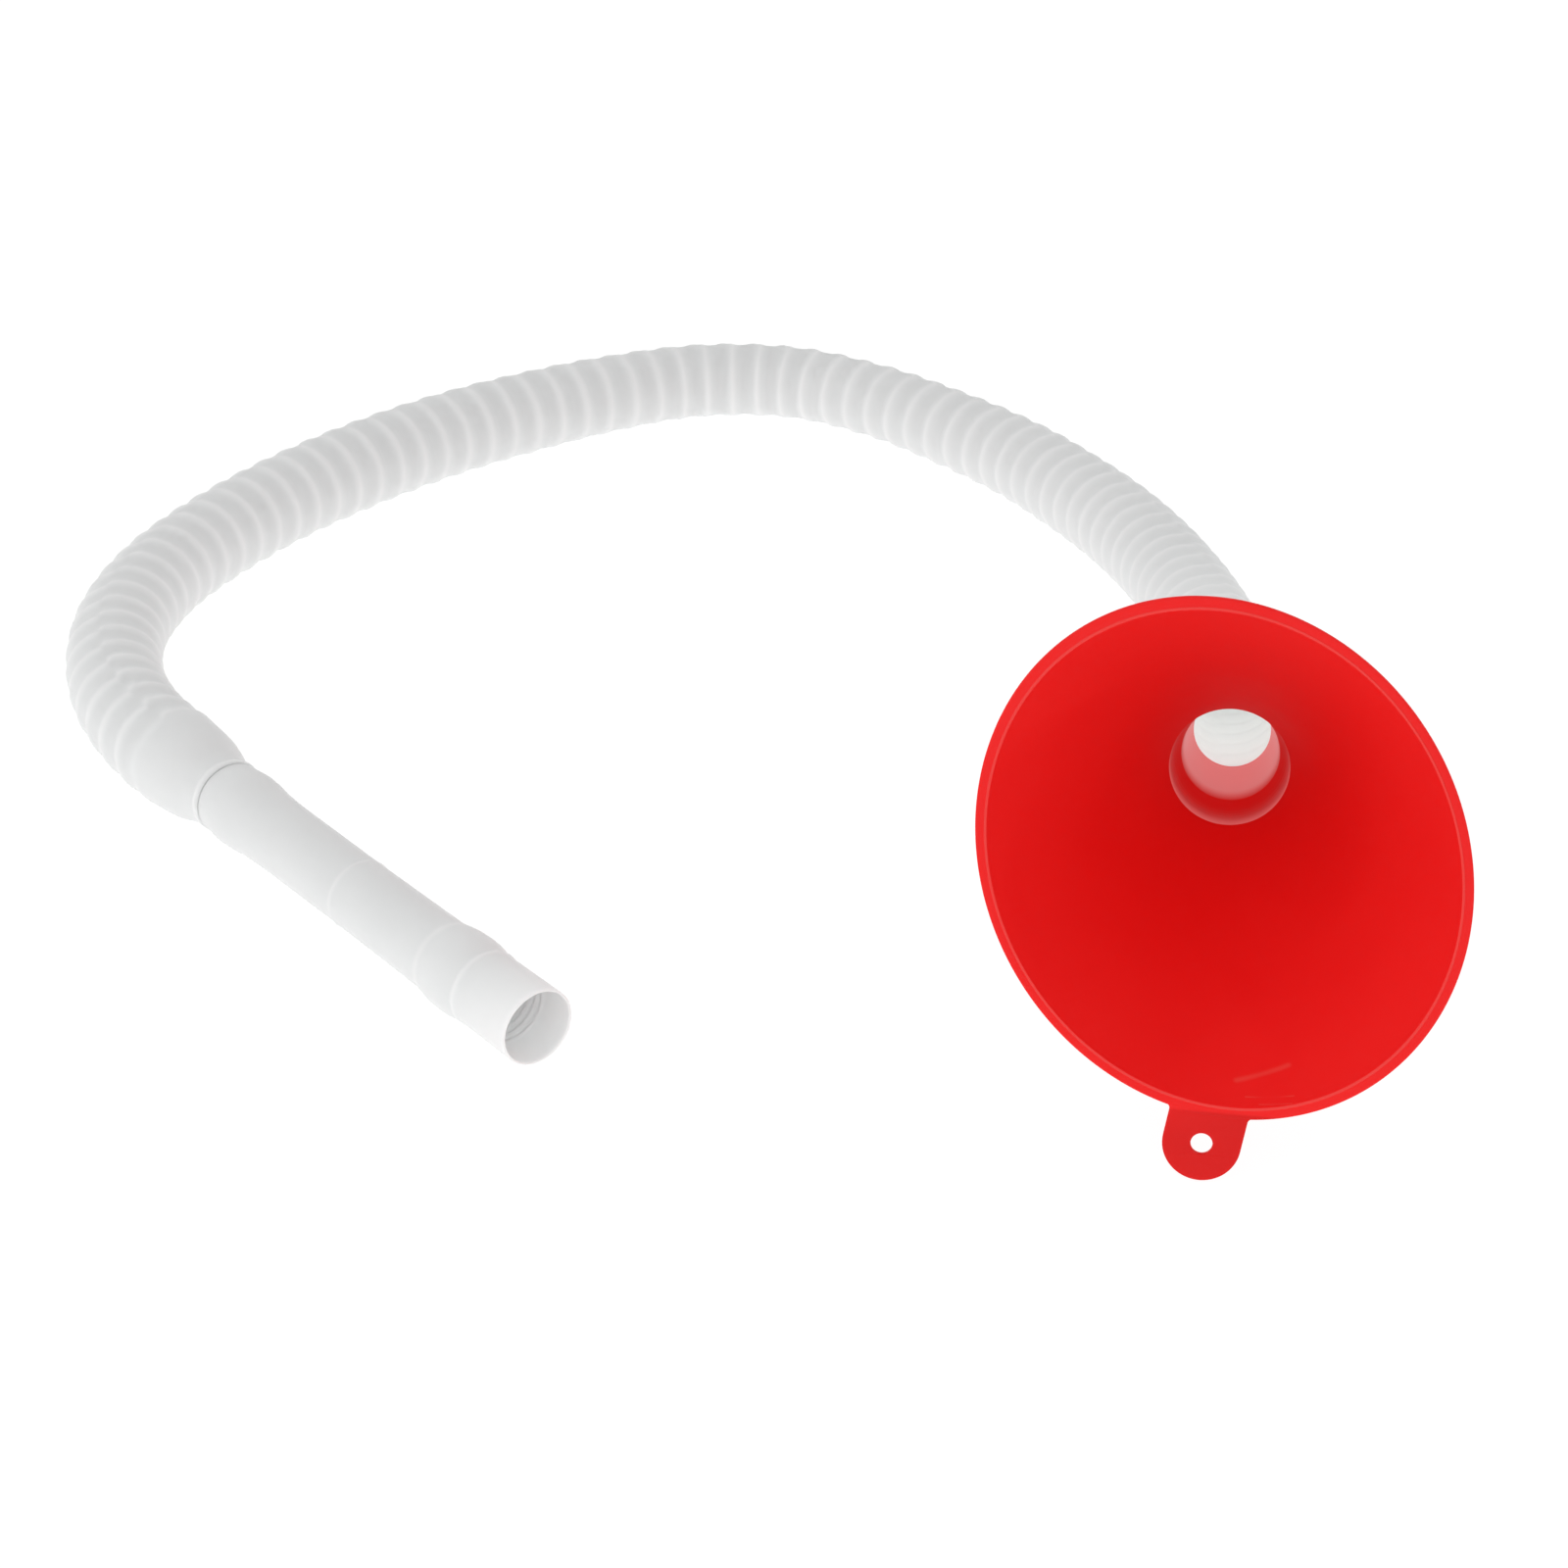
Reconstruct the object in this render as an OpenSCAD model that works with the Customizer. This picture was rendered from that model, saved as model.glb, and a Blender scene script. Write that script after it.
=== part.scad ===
// Long-spout funnel: a moulded bowl pushed into a corrugated hose with a stepped outlet.
// The hose lies on the floor (z = 0) and the bowl stands on its hanging tab, mouth forward.
// Frame: +X right, +Y away from the mouth, +Z up, origin under the middle of the bowl.

/* [Bowl] */
// Mean outer diameter of the mouth
mouth_d = 120; // [115:1:125]
// How far the soft rim is pressed out of round along its long axis
mouth_oval = 4.4; // [0:0.2:5]
// Direction of the long axis, from right towards down
oval_angle = 62; // [0:1:180]
// Wall thickness of the bowl
wall = 1.5; // [1.2:0.1:2]
// Width of the flat lip round the mouth
lip_w = 2.8; // [2:0.2:4]
// Thickness of the lip
lip_t = 1.8; // [1.4:0.1:2.4]
// Depth of the cone, from the mouth to the throat
cone_h = 86.5; // [80:0.5:95]
// Height of the mouth's centre above the floor
mouth_z = 77.1; // [76:0.1:80]
// Slope of the bowl's axis, down towards the neck
bowl_tilt = 12.9; // [8:0.1:18]

/* [Throat and neck] */
// Inner radius of the throat, where the cone ends
throat_r = 15.4; // [15:0.1:16]
// Inner radius of the neck at the throat's ledge
neck_r1 = 12.5; // [12:0.1:13]
// Inner radius of the neck at its tip
neck_r2 = 10.2; // [9.8:0.1:10.6]
// Depth of the ledge below the mouth
ledge_d = 101.5; // [100:0.5:103]
// Depth of the neck's tip below the mouth
neck_tip_d = 126; // [124:0.5:127]

/* [Hanging tab] */
// Distance from the mouth's centre to the middle of the hole
tab_reach = 69.4; // [68:0.1:70]
// Width of the tab
tab_w = 18.6; // [16:0.2:20]
// Thickness of the tab
tab_t = 1.5; // [1.2:0.1:1.6]
// Radius of the hanging hole
hang_r = 2.6; // [2:0.1:3]
// Lean of the tab's sides, in degrees
tab_lean = 9; // [0:1:12]

/* [Hose] */
// Outer radius over the corrugations
hose_r = 14.5; // [13.5:0.1:14.8]
// Wall thickness of the cuffs
hose_wall = 1; // [0.8:0.1:1.2]
// Gap between the neck and the bore of the inlet cuff
cuff_gap = 0.05; // [0.03:0.01:0.1]
// Outer radius of the outlet at its open end
outlet_r = 10.5; // [10:0.1:11]

/* [Hidden] */
$fn = 96;

bowl_y = -53.95;         // centre of the mouth, back from the origin
bowl_seg = 120;          // facets round the oval cone
fillet_r = 1.5;          // fillets between the tab and the lip
cuff_mouth_d = 104.5;    // where the cuff begins on the neck
cuff_end_d = 128.5;      // where the cuff meets the corrugations

// Inner radius of the cone at depth d below the mouth
function cone_r(d) = mouth_d / 2 - lip_w - (mouth_d / 2 - lip_w - throat_r) * d / cone_h;
// Radial thickness of the sloping wall
cone_slope = atan((mouth_d / 2 - lip_w - throat_r) / cone_h);
wall_r = wall / cos(cone_slope);
// Share of the ovality that a ring of radius r keeps
function squash(r) = mouth_oval * max(0, r - throat_r - wall_r) / (mouth_d / 2 - throat_r - wall_r);
// Point of the ring (r, d) at angle t round the bowl
function oval_pt(r, d, t) =
    let (e = squash(r), x = (r + e) * cos(t), y = (r - e) * sin(t))
    [x * cos(oval_angle) - y * sin(oval_angle), x * sin(oval_angle) + y * cos(oval_angle), d];
// Outer radius of the rim at angle a
function rim_at(a) =
    let (l = mouth_d / 2 + mouth_oval, s = mouth_d / 2 - mouth_oval, b = a - oval_angle)
    l * s / sqrt(pow(s * cos(b), 2) + pow(l * sin(b), 2));

// Section of the oval cone as (radius, depth): lip, outer wall, inner wall
lip_edge = 0.5;
cone_end = cone_h - 0.5;
cone_section = [
    [mouth_d / 2 - lip_w + 0.3, 0],
    [mouth_d / 2 - lip_edge, 0],
    [mouth_d / 2, lip_edge],
    [mouth_d / 2, lip_t - lip_edge],
    [mouth_d / 2 - lip_edge, lip_t],
    [cone_r(lip_t) + wall_r + 0.5, lip_t],
    [cone_r(lip_t + 0.8) + wall_r, lip_t + 0.8],
    [cone_r(cone_h / 2) + wall_r, cone_h / 2],
    [cone_r(cone_end) + wall_r, cone_end],
    [cone_r(cone_end), cone_end],
    [cone_r(cone_h / 2), cone_h / 2],
    [cone_r(0.5), 0.5]
];

module oval_cone() {
    n = len(cone_section);
    polyhedron(
        points = [for (i = [0:bowl_seg - 1], p = cone_section) oval_pt(p[0], p[1], 360 * i / bowl_seg)],
        faces = [
            for (i = [0:bowl_seg - 1], j = [0:n - 1])
                let (a = i * n + j, b = i * n + (j + 1) % n,
                     c = ((i + 1) % bowl_seg) * n + (j + 1) % n, d = ((i + 1) % bowl_seg) * n + j)
                each [[a, b, c], [a, c, d]]
        ]
    );
}

// Throat, ledge and tapering neck, turned about the bowl's axis
neck_wall = 1.2;
module throat_and_neck() {
    rotate_extrude()
        polygon([
            [throat_r + 1.2, cone_h - 1.7],
            [throat_r + 0.15, cone_h - 0.5],
            [throat_r, cone_h + 0.1],
            [throat_r - 0.3, ledge_d - 7.5],
            for (a = [0:15:60]) [throat_r - 0.3 - 2 * (1 - cos(a)), ledge_d - 7.5 + 2 * sin(a)],
            [neck_r1 + 0.5, ledge_d - 1],
            [neck_r1 + 0.1, ledge_d - 0.4],
            [neck_r1, ledge_d + 0.2],
            [neck_r2, neck_tip_d],
            [neck_r2 + neck_wall - 0.2, neck_tip_d],
            [neck_r2 + neck_wall, neck_tip_d - 0.3],
            [neck_r1 + neck_wall, ledge_d + 1],
            [throat_r + 0.6, ledge_d - 3],
            [throat_r + wall, ledge_d - 6],
            [throat_r + wall_r, cone_h],
            [throat_r + wall_r + 0.3, cone_h - 1.7]
        ]);
}

// Directions across the tab and up along its sides, in the plane of the mouth
tab_across = [cos(tab_lean), sin(tab_lean)];
tab_up = [sin(tab_lean), -cos(tab_lean)];
// Middle of the hollow corner between one side of the tab and the rim
function corner_mid(side) =
    let (base = [0, tab_reach] + side * (tab_w / 2 + fillet_r) * tab_across, b = base * tab_up,
         rim = rim_at(89 - side * 10) - 0.2)
    base - (b + sqrt(b * b - base * base + pow(rim + fillet_r, 2))) * tab_up;
// Points of that corner, from the tab's side to the rim
function corner_arc(side) =
    let (c = corner_mid(side), first = side > 0 ? 180 + tab_lean : tab_lean,
         last = atan2(-c[1], -c[0]) + (side > 0 ? 360 : 0))
    [for (k = [0:6]) let (a = first + (last - first) * k / 6) c + fillet_r * [cos(a), sin(a)]];
corner_r = corner_arc(1);
corner_l = corner_arc(-1);

module tab() {
    translate([0, 0, (lip_t - tab_t) / 2])
        difference() {
            linear_extrude(tab_t)
                polygon(concat(
                    [for (k = [0:36]) let (a = tab_lean + 5 * k) [0, tab_reach] + tab_w / 2 * [cos(a), sin(a)]],
                    corner_l,
                    [corner_l[6] + [0.5, -2], corner_r[6] + [-0.5, -2]],
                    [for (k = [6:-1:0]) corner_r[k]]
                ));
            translate([0, tab_reach, -1]) cylinder(r = hang_r, h = tab_t + 2);
        }
}

// Places a shape made round the bowl's own axis (z down into the neck, y down to the tab)
module on_bowl_axis() {
    translate([0, bowl_y, mouth_z]) rotate([-(90 + bowl_tilt), 0, 0]) children();
}

module funnel_bowl() {
    color([0.88, 0.10, 0.11])
        on_bowl_axis()
            union() {
                oval_cone();
                throat_and_neck();
                tab();
            }
}

// Outer radius of the neck at depth d
function neck_out(d) = neck_r1 + neck_wall - (neck_r1 - neck_r2) * (d - ledge_d - 1) / (neck_tip_d - 1.3 - ledge_d);

module hose_inlet_cuff() {
    color([0.90, 0.91, 0.92])
        on_bowl_axis()
            rotate_extrude()
                polygon([
                    [neck_out(cuff_mouth_d) + cuff_gap, cuff_mouth_d],
                    [neck_out(neck_tip_d) + cuff_gap, neck_tip_d],
                    [neck_out(neck_tip_d) + cuff_gap, cuff_end_d],
                    [hose_r, cuff_end_d],
                    [hose_r, cuff_mouth_d + 5],
                    [hose_r + 0.6, cuff_mouth_d + 3.5],
                    [hose_r + 0.6, cuff_mouth_d + 1],
                    [hose_r + 0.2, cuff_mouth_d]
                ]);
}

// Centre line of the corrugated hose, from the inlet cuff to the outlet
ROUTE = [
    [0, 71.3, 48.4], [-1, 106, 41], [-3, 140, 34], [-9, 174, 28], [-17, 207, 23.5], [-28, 240, 20],
    [-42, 271, 17.5], [-59, 300, 15.5], [-80, 328, 14.5], [-106, 352, 14.5], [-136, 374, 14.5],
    [-169, 387, 14.5], [-203, 383, 14.5], [-234, 364, 14.5], [-261, 340, 14.5], [-284, 314, 14.5],
    [-304, 285, 14.5], [-321, 254, 14.5], [-334, 221, 14.5], [-342, 187, 14.5], [-342, 152, 14.5],
    [-333, 119.5, 14.5], [-317.5, 92.5, 14.5], [-296.5, 70, 14.5]
];
tube_sides = 12;
tube_steps = 2;          // rings per route span

outlet_end = [-165.7, -46.5, 11];
outlet_dir = (outlet_end - ROUTE[len(ROUTE) - 1]) / norm(outlet_end - ROUTE[len(ROUTE) - 1]);
outlet_l = norm(outlet_end - ROUTE[len(ROUTE) - 1]);
neck_dir = [0, cos(bowl_tilt), -sin(bowl_tilt)];

// Slope of the centre line at route point i: the cuffs fix both ends
function route_tan(i) =
    i == 0 ? neck_dir * 35 :
    i == len(ROUTE) - 1 ? outlet_dir * 30 :
    (ROUTE[i + 1] - ROUTE[i - 1]) / 2;
// Point at share t of the span from i to i + 1
function route_pt(i, t) =
    (2 * pow(t, 3) - 3 * pow(t, 2) + 1) * ROUTE[i] + (pow(t, 3) - 2 * pow(t, 2) + t) * route_tan(i)
    + (3 * pow(t, 2) - 2 * pow(t, 3)) * ROUTE[i + 1] + (pow(t, 3) - pow(t, 2)) * route_tan(i + 1);
line_pts = concat(
    [for (i = [0:len(ROUTE) - 2], k = [0:tube_steps - 1]) route_pt(i, k / tube_steps)],
    [ROUTE[len(ROUTE) - 1]]
);
function unit(v) = v / norm(v);
function line_dir(k) =
    k == 0 ? neck_dir :
    k == len(line_pts) - 1 ? outlet_dir :
    unit(line_pts[k + 1] - line_pts[k - 1]);

module hose_corrugated() {
    n = len(line_pts);
    color([0.90, 0.91, 0.92])
        polyhedron(
            points = [
                for (k = [0:n - 1])
                    let (side = unit(cross(line_dir(k), [0, 0, 1])), up = cross(side, line_dir(k)))
                    for (j = [0:tube_sides - 1])
                        let (a = 360 * j / tube_sides)
                        line_pts[k] + hose_r * (cos(a) * side + sin(a) * up)
            ],
            faces = concat(
                [[for (j = [tube_sides - 1:-1:0]) j]],
                [
                    for (k = [0:n - 2], j = [0:tube_sides - 1])
                        let (a = k * tube_sides + j, b = k * tube_sides + (j + 1) % tube_sides,
                             c = b + tube_sides, d = a + tube_sides)
                        each [[a, c, d], [a, b, c]]
                ],
                [[for (j = [0:tube_sides - 1]) (n - 1) * tube_sides + j]]
            )
        );
}

// Outer radius of the outlet at stations along it: collar, waist, bead, long barrel, stop ring, tip
OUTLET = [
    [0, hose_r], [8, outlet_r + 3.3], [25, outlet_r], [37, outlet_r + 0.7], [51, outlet_r - 0.4],
    [92, outlet_r - 0.7], [134, outlet_r - 0.4], [144, outlet_r + 0.8], [154, outlet_r - 0.2],
    [162, outlet_r], [outlet_l, outlet_r]
];
function ease(t) = (1 - cos(180 * t)) / 2;
outlet_line = [
    for (i = [0:len(OUTLET) - 2])
        let (a = OUTLET[i], b = OUTLET[i + 1], n = a[1] == b[1] ? 1 : b[0] - a[0] > 30 ? 2 : 6)
        for (k = [0:n - 1]) [a[1] + (b[1] - a[1]) * ease(k / n), a[0] + (b[0] - a[0]) * k / n],
    [outlet_r, outlet_l]
];
outlet_len = len(outlet_line);
outlet_turn = atan2(outlet_dir[1], outlet_dir[0]);
outlet_lean = acos(outlet_dir[2]);

module hose_outlet() {
    color([0.90, 0.91, 0.92])
        translate(ROUTE[len(ROUTE) - 1])
            rotate([0, outlet_lean, outlet_turn])
                rotate_extrude()
                    polygon(concat(
                        outlet_line,
                        [for (k = [outlet_len - 1:-1:0]) outlet_line[k] - [hose_wall, 0]]
                    ));
}

funnel_bowl();
hose_inlet_cuff();
hose_corrugated();
hose_outlet();
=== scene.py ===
# %% [markdown]
# # A long-spout funnel
# The object is a red moulded bowl whose neck is pushed into a milky, corrugated hose. The hose
# lies in one wide loop on the floor and ends in a smooth stepped outlet that goes into a filler.
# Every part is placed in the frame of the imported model, in metres, with the floor at z = 0.

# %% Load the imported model
import bmesh
import bpy
import math
import numpy as np
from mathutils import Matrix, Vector


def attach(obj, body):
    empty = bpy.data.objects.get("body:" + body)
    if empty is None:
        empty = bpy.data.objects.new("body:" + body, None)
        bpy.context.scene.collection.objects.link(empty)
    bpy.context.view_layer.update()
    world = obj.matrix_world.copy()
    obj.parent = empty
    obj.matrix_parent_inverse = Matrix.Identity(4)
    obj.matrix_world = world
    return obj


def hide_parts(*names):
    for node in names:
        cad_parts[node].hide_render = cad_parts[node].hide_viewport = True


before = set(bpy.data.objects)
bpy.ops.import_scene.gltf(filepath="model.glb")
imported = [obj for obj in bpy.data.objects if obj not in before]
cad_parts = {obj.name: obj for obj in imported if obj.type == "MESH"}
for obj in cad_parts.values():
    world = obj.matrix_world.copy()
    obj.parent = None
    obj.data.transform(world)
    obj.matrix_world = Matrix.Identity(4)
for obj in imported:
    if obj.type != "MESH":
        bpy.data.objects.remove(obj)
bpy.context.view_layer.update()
MM = 0.001

# %% [markdown]
# ## The camera
# A camera is an ordinary object with a lens. This one stands 0.84 m from the origin, above the
# bowl's height, and looks down at 28.5 degrees. A long lens keeps the loop of hose from stretching.
# Its turn is counted from looking straight down, so 61.5 degrees of tilt is 28.5 below level.

# %% Place the camera
camera_data = bpy.data.cameras.new("studio_camera")
camera_data.lens = 74.25
camera_data.sensor_width = 36
camera_data.clip_start = 0.01
camera_data.clip_end = 50
camera = bpy.data.objects.new("studio_camera", camera_data)
camera.location = (0, -0.709, 0.4497)
camera.rotation_euler = (math.radians(61.49), 0, math.radians(8.885))
bpy.context.scene.collection.objects.link(camera)
bpy.context.scene.camera = camera
print("camera looks down by", round(90 - math.degrees(camera.rotation_euler.x), 2), "degrees")

# %% [markdown]
# ## Where the hose runs
# A hose is drawn along a centre line. It leaves the bowl's neck straight, drops to the floor
# under its own weight and lies in a loop. A chain of points gives the places, and a smooth
# curve through them (a Hermite spline) gives every place in between and its direction.

# %% The centre line of the hose
HOSE_POINTS = np.array([
    (0, 71.3, 48.4), (-1, 106, 41), (-3, 140, 34), (-9, 174, 28), (-17, 207, 23.5), (-28, 240, 20),
    (-42, 271, 17.5), (-59, 300, 15.5), (-80, 328, 14.5), (-106, 352, 14.5), (-136, 374, 14.5),
    (-169, 387, 14.5), (-203, 383, 14.5), (-234, 364, 14.5), (-261, 340, 14.5), (-284, 314, 14.5),
    (-304, 285, 14.5), (-321, 254, 14.5), (-334, 221, 14.5), (-342, 187, 14.5), (-342, 152, 14.5),
    (-333, 119.5, 14.5), (-317.5, 92.5, 14.5), (-296.5, 70, 14.5)]) * MM
OUTLET_TIP = np.array((-165.7, -46.5, 11)) * MM
BOWL_TILT = math.radians(12.9)                  # how far the neck points down from level
NECK_DIR = np.array((0, math.cos(BOWL_TILT), -math.sin(BOWL_TILT)))
OUTLET_RUN = OUTLET_TIP - HOSE_POINTS[-1]
OUTLET_LENGTH = float(np.linalg.norm(OUTLET_RUN))
OUTLET_DIR = OUTLET_RUN / OUTLET_LENGTH
END_PULL = (0.035, 0.03)                        # slopes at the neck and at the outlet, in metres


def spline_at(u):
    """Place on the centre line at u, counted in hose points from the bowl."""
    last = len(HOSE_POINTS) - 1
    inner_slopes = (HOSE_POINTS[2:] - HOSE_POINTS[:-2]) / 2
    slopes = np.vstack([NECK_DIR * END_PULL[0], inner_slopes, OUTLET_DIR * END_PULL[1]])
    i = np.clip(np.floor(u).astype(int), 0, last - 1)
    t = (u - i)[:, None]
    return ((2 * t**3 - 3 * t**2 + 1) * HOSE_POINTS[i] + (t**3 - 2 * t**2 + t) * slopes[i]
            + (3 * t**2 - 2 * t**3) * HOSE_POINTS[i + 1] + (t**3 - t**2) * slopes[i + 1])


fine_u = np.linspace(0, len(HOSE_POINTS) - 1, 4601)
fine_steps = np.linalg.norm(np.diff(spline_at(fine_u), axis=0), axis=1)
fine_run = np.concatenate([[0], np.cumsum(fine_steps)])
HOSE_LENGTH = float(fine_run[-1])
print("corrugated hose is", round(HOSE_LENGTH, 4), "m long")

# %% [markdown]
# ## How the hose is ribbed
# The hose is blown in a mould of rings, so the ribs are separate rings and not a screw. Each
# ring has a narrow rounded crest and a wide shallow valley. The mould has two halves that don't
# meet exactly: the rings step by a third of a pitch at the parting seam, where thin flash runs.
# The hose is a little squashed where it bends hardest, and its last ring is the widest.

# %% Rib shape and hose size along its length
RING_PITCH = 10.5 * MM
RINGS = round(HOSE_LENGTH / RING_PITCH)
RING_DEPTH = 0.65 * MM
HOSE_WALL = 0.9 * MM
SEAM_ANGLE = math.radians(76)
LIE_R = 14.5 * MM                       # the hose points lie this high where it rests on the floor
LAST_R = 14.3 * MM                      # the collar starts with this radius
SIZE_AT = [0, 3, 6, 8, 10, 12, 14, 16, 19, 22, 23]                          # at these hose points
SIZE_MM = [14.5, 14.7, 14.7, 14.2, 13.1, 13.2, 14.6, 15.0, 14.6, 14.5, 14.5]  # crest radius there


# %% Helpers for one rib and for the step at the seam
def valley(phase):
    """How low the surface is at this share of a pitch: 0 on the crest, 1 in the valley."""
    p = (phase + 0.5) % 1.0 - 0.5
    return 1 - np.exp(-(np.abs(p) / 0.2) ** 2.2)


def seam_shift(angle):
    """The step in the rings between the two mould halves, in pitches."""
    a = (angle - SEAM_ANGLE) % (2 * math.pi)
    edge = 0.07                         # the step is spread over this angle
    up = np.clip(a / edge, 0, 1) * np.clip((2 * math.pi - a) / edge, 0, 1)
    return 0.33 * up * (1 - np.clip((a - math.pi) / edge, 0, 1))


print(RINGS, "rings, one every", round(HOSE_LENGTH / RINGS * 1000, 2), "mm")

# %% [markdown]
# ## The smooth end of the hose
# The far end is blown in the same go as the ribs, but is smooth: a collar that narrows to a
# waist, a bump, a long barrel with a fine parting ring, a stop bead and the open tip. It is round
# about one line, so a list of radii along that line says all there is to know about it. The
# collar up to the waist is made with the hose, the rest is a piece of its own.

# %% Radii along the smooth end
COLLAR = [(0, 14.3), (4, 14.1), (8, 13.8), (12, 13.3), (16, 12.3), (20, 11.1), (24, 10.55)]
BUMP = [(30, 10.7), (36, 11.25), (41, 11.0), (46, 10.4), (54, 10.05)]
BARREL = [(72, 9.95), (92, 9.85), (121, 10.0), (133, 10.1)]
STOP_BEAD = [(135.5, 10.5), (138, 10.95), (141, 11.2), (145, 11.3), (148, 11.0), (150, 10.6), (152, 10.3)]
OPEN_TIP = [(158, 10.4), (OUTLET_LENGTH / MM, 10.55)]
OUTLET_STATIONS = COLLAR + BUMP + BARREL + STOP_BEAD + OPEN_TIP         # mm along, mm of radius
COLLAR_END = 28.0                       # mm, just after the waist ring
WAIST_RING, BARREL_RING, BEAD_RING = 26, 94, 152.5      # fine rings outside, mm along
BORE_RINGS = (158.5, 161, 163.5)                        # fine rings inside the tip, mm along


# %% Helpers for radii along a line
def smooth_radii(stations, step, blur):
    """Radii every step along the axis through the stations, with the corners rounded off."""
    x = np.arange(stations[0][0], stations[-1][0] + step / 2, step)
    r = np.interp(x, *zip(*stations))
    width = int(blur / step) * 2 + 1
    kernel = np.hanning(width + 2)[1:-1]
    padded = np.pad(r, width // 2, mode="reflect", reflect_type="odd")
    return x, np.convolve(padded, kernel / kernel.sum(), mode="valid")


def fine_ring(x, at, height, half_width):
    """A small rounded ring, such as the parting line of a mould, added to the radii."""
    return height * np.exp(-((x - at) / half_width) ** 2)


# %% Outer and inner radii of the smooth end
x_mm, r_mm = smooth_radii(OUTLET_STATIONS, 0.4, 1.6)
skin_mm = (r_mm + fine_ring(x_mm, WAIST_RING, .35, .7) + fine_ring(x_mm, BARREL_RING, .2, .6)
           + fine_ring(x_mm, BEAD_RING, .35, .7))
wall_mm = np.interp(x_mm, [0, 140, 160], [0.9, 0.9, 0.75])
bore_mm = r_mm - wall_mm
for at in BORE_RINGS:
    bore_mm = bore_mm - fine_ring(x_mm, at, .35, .5)
print("smooth end:", round(OUTLET_LENGTH * 1000, 1), "mm long")
print("its tip is", round(2 * r_mm[-1], 1), "mm across")

# %% [markdown]
# ## The hose as a mesh
# A curve with a round bevel would give a plain tube. Here each ring of points is placed one by one
# round the centre line instead, so that ribs, seam and squash can all change its radius. An
# outer skin and an inner skin 0.9 mm apart make a real wall that light can pass through.

# %% Helpers that turn rings of points into a skin
def add_skin(verts, faces, rings, inward=False):
    """Appends a grid of points (rows x round) as quads closed round, and returns its first index."""
    start = len(verts)
    rows, around = rings.shape[:2]
    verts.extend(map(tuple, rings.reshape(-1, 3)))
    for i in range(rows - 1):
        for j in range(around):
            a, b = start + i * around + j, start + i * around + (j + 1) % around
            quad = (a, b, b + around, a + around)
            faces.append(quad[::-1] if inward else quad)
    return start


def mark(piece, name, values):
    """Stores one number per point of a piece, which its finish can read as a mask."""
    layer = piece.data.attributes.new(name, "FLOAT", "POINT")
    layer.data.foreach_set("value", np.asarray(values, dtype=np.float32).ravel())


def make_piece(name, verts, faces, sharp_angle=None):
    """A mesh object from points and faces, smooth shaded, with edges above the angle kept crisp."""
    mesh = bpy.data.meshes.new(name)
    mesh.from_pydata(verts, [], faces)
    mesh.update()
    mesh.shade_smooth()
    if sharp_angle:
        mesh.set_sharp_from_angle(angle=math.radians(sharp_angle))
    piece = bpy.data.objects.new(name, mesh)
    bpy.context.scene.collection.objects.link(piece)
    return piece


# %% Lay the hose along its centre line
# Points stand closer at a crest than in a valley, because that is where the shape turns.
rib_samples = np.array([0, .06, .12, .18, .24, .32, .5, .68, .76, .82, .88, .94])
run = np.concatenate([(k + rib_samples) / RINGS for k in range(RINGS)] + [[1.0]]) * HOSE_LENGTH
hose_u = np.interp(run, fine_run, fine_u)
centres = spline_at(hose_u)
crest = np.interp(hose_u, SIZE_AT, SIZE_MM) * MM
blur = 30                               # points on each side that soften the changes of size
window = np.ones(2 * blur + 1) / (2 * blur + 1)
crest = np.convolve(np.pad(crest, blur, mode="edge"), window, mode="valid")
on_floor = np.clip((hose_u - 6) / 2.5, 0, 1)
centres[:, 2] += np.maximum(crest - LIE_R, 0) * on_floor
crest += (LAST_R - crest) * np.clip((run - HOSE_LENGTH) / (0.5 * RING_PITCH) + 1, 0, 1)
flare = 0.35 * MM * np.exp(-((run - (HOSE_LENGTH - 0.55 * RING_PITCH)) / (0.55 * RING_PITCH)) ** 2)
print("crest radius", round(crest.min() * 1000, 1), "to", round(crest.max() * 1000, 1), "mm")

# %% [markdown]
# Each ring of points needs to know which way is sideways and which way is up for the hose there.
# Two cross products with the heading give both, and because the hose never stands upright, the
# rings don't twist.

# %% Which way the hose faces at each ring
heading = np.gradient(centres, axis=0)
heading[0] = NECK_DIR
heading[-1] = OUTLET_DIR
heading /= np.linalg.norm(heading, axis=1)[:, None]
side = np.cross(heading, (0, 0, 1))
side /= np.linalg.norm(side, axis=1)[:, None]
above = np.cross(side, heading)
AROUND = 64
theta = np.arange(AROUND) * 2 * math.pi / AROUND
ray = np.cos(theta)[None, :, None] * side[:, None, :] + np.sin(theta)[None, :, None] * above[:, None, :]
print(len(centres), "rings of", AROUND, "points")

# %% [markdown]
# A radius for every point makes the ribs. The valleys take away from the crest radius, the flash
# at the two seams adds a thin ridge, and the inner skin follows the outer one a little flatter,
# as it does when plastic is blown against a mould. The hose rests on the floor, so no point of
# it goes below the floor.

# %% Outer and inner skin of the ribs
phase = run[:, None] / HOSE_LENGTH * RINGS + seam_shift(theta)[None, :]
ends = np.clip(np.minimum(run, HOSE_LENGTH - run) / (0.4 * RING_PITCH), 0, 1)[:, None]
low = RING_DEPTH * valley(phase) * ends
seam_ridge = 0
for seam in (SEAM_ANGLE, SEAM_ANGLE + math.pi):
    off_seam = np.angle(np.exp(1j * (theta - seam)))
    seam_ridge = seam_ridge + np.exp(-(off_seam / 0.03) ** 2)
radius = (crest + flare)[:, None] - low + 0.2 * MM * seam_ridge[None, :]
inner_radius = radius + 0.6 * low - 0.35 * RING_DEPTH - HOSE_WALL
outer = centres[:, None, :] + radius[:, :, None] * ray
inner = centres[:, None, :] + inner_radius[:, :, None] * ray
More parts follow.
